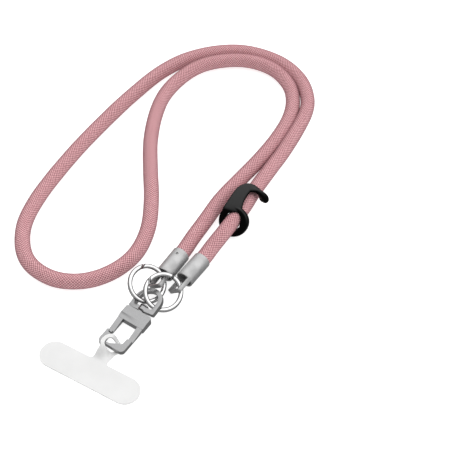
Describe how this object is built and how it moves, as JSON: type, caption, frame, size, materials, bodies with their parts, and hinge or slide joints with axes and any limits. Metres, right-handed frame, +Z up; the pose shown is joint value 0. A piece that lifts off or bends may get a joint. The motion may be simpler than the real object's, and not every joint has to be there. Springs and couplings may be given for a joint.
{
  "type": "phone crossbody strap",
  "caption": "Braided rope crossbody strap with metal end caps, split gate rings, a swivel hook, a rubber slider and a soft T tab that goes behind a phone case",
  "frame": {"origin": "bottom centre of the hardware's box, the free rope left out, on the surface that the strap lies on", "axes": "+Z up; +X to the right and +Y away from the viewer, as the picture shows the strap lying"},
  "size_m": [0.2014, 0.3055, 0.0183],
  "materials": {
    "rope_braid": "dusty pink round braid with fine stitches",
    "cap_metal": "satin grey",
    "ring_metal": "bright plated",
    "ring_gate_metal": "bright plated",
    "eye_metal": "satin plated casting",
    "pin_metal": "satin plated",
    "hook_metal": "satin plated casting",
    "hook_gate_metal": "satin plated",
    "slider_rubber": "matte black",
    "tab_plastic": "near-white soft matte sheet"
  },
  "bodies": {
    "strap": {"rope": "rope_braid", "cap_1": "cap_metal", "cap_2": "cap_metal", "ring_1": "ring_metal", "ring_2": "ring_metal", "swivel_eye": "eye_metal", "slider": "slider_rubber"},
    "ring_gate_1": {"ring_1_gate": "ring_gate_metal"},
    "ring_gate_2": {"ring_2_gate": "ring_gate_metal"},
    "hook": {"hook_body": "hook_metal", "swivel_pin": "pin_metal", "phone_tab": "tab_plastic"},
    "hook_gate": {"hook_gate": "hook_gate_metal"}
  },
  "joints": [
    {"name": "hook_swivel", "type": "hinge", "parent": "strap", "child": "hook", "pos_m": [-0.00952, -0.0139, 0.00345], "axis": [-0.5549, -0.8319, 0], "continuous": true},
    {"name": "hook_gate_spring", "type": "hinge", "parent": "hook", "child": "hook_gate", "pos_m": [-0.02976, -0.02829, 0.00345], "axis": [0, 0, -1], "range_deg": [0, 30], "stiffness_Nm_per_rad": 0.004},
    {"name": "ring_gate_1_spring", "type": "hinge", "parent": "strap", "child": "ring_gate_1", "pos_m": [0.00098, 0.00772, 0.00773], "axis": [0.3601, -0.4477, 0.8185], "range_deg": [0, 25], "stiffness_Nm_per_rad": 0.006},
    {"name": "ring_gate_2_spring", "type": "hinge", "parent": "strap", "child": "ring_gate_2", "pos_m": [0.00784, 0.0045, 0.01085], "axis": [0.178, -0.4931, 0.8516], "range_deg": [0, 14], "stiffness_Nm_per_rad": 0.006}
  ]
}
